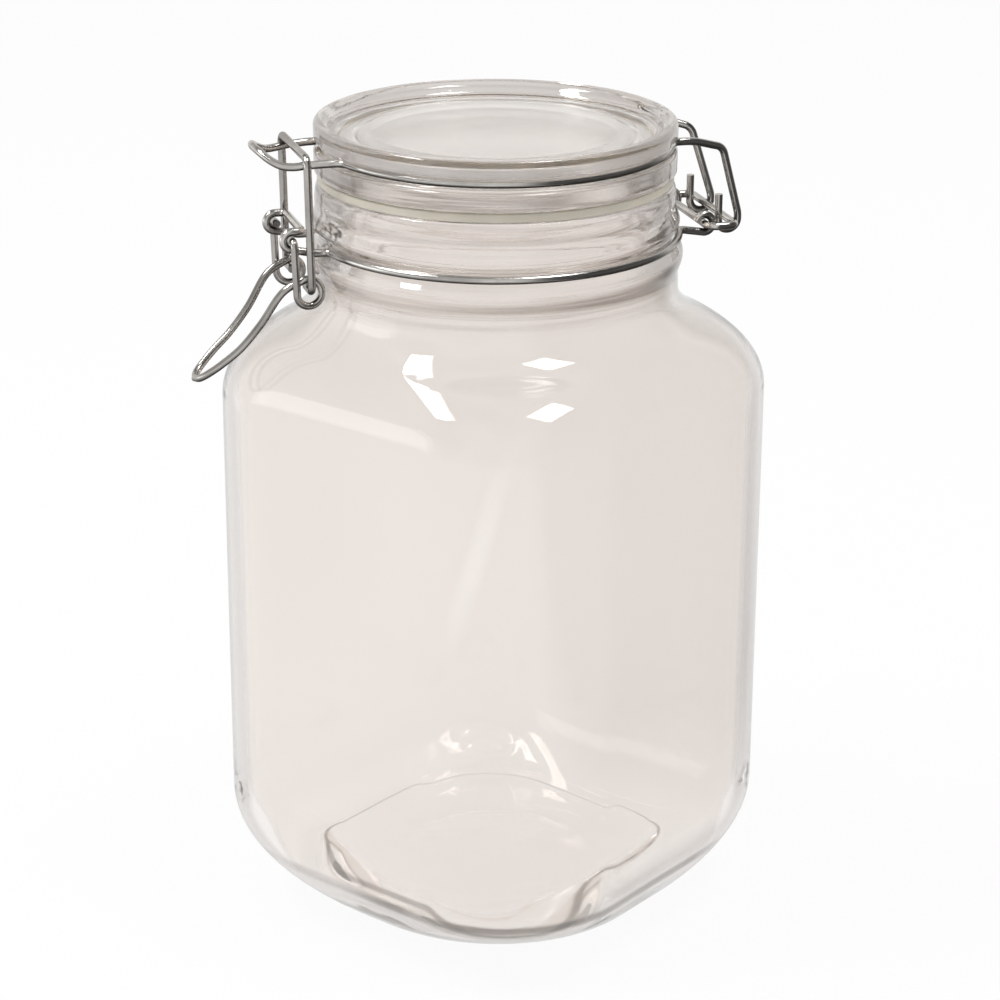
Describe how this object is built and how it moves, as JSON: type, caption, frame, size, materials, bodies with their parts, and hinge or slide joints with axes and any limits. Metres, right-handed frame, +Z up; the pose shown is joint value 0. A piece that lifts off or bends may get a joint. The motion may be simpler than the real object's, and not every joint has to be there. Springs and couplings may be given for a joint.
{
  "type": "swing-top jar",
  "caption": "Square glass storage jar with a round neck, glass lid, rubber gasket and wire toggle closure.",
  "frame": {"origin": "middle of the flat foot that the jar stands on, on the axis of the neck", "axes": "+Z up along the axis of the neck; X and Y square to the flat sides of the body. The closure is turned: its hinge stands 55.8 degrees from +X towards +Y, and its latch is opposite."},
  "size_m": [0.125, 0.1322, 0.2225],
  "materials": {
    "body_glass": "clear pressed soda-lime glass, slightly grey",
    "lid_glass": "clear pressed glass with a rolled rim",
    "gasket_rubber": "pale natural rubber, matt",
    "lid_wire_steel": "bright drawn steel wire",
    "collar_wire_steel": "bright drawn steel wire",
    "hinge_bracket_steel": "bright drawn steel wire",
    "lever_steel": "bright drawn steel wire",
    "bail_steel": "bright drawn steel wire"
  },
  "bodies": {
    "jar": {"jar_body": "body_glass", "collar_wire": "collar_wire_steel", "hinge_bracket": "hinge_bracket_steel"},
    "lid": {"lid": "lid_glass", "gasket": "gasket_rubber", "lid_wire": "lid_wire_steel"},
    "lever": {"lever": "lever_steel"},
    "bail": {"bail": "bail_steel"}
  },
  "joints": [
    {"name": "lid_hinge", "type": "hinge", "parent": "jar", "child": "lid", "pos_m": [0.03488, 0.05132, 0.1933], "axis": [-0.8271, 0.5621, 0], "range_deg": [0, 115]},
    {"name": "lever_pivot", "type": "hinge", "parent": "jar", "child": "lever", "pos_m": [-0.03238, -0.04764, 0.196], "axis": [-0.8271, 0.5621, 0], "range_deg": [0, 105]},
    {"name": "bail_swing", "type": "hinge", "parent": "lever", "child": "bail", "pos_m": [-0.03017, -0.0444, 0.18319], "axis": [-0.8271, 0.5621, 0], "range_deg": [-94.5, 0]}
  ],
  "couplings": [
    {"joint": "bail_swing", "follows": "lever_pivot", "ratio": -0.9}
  ]
}
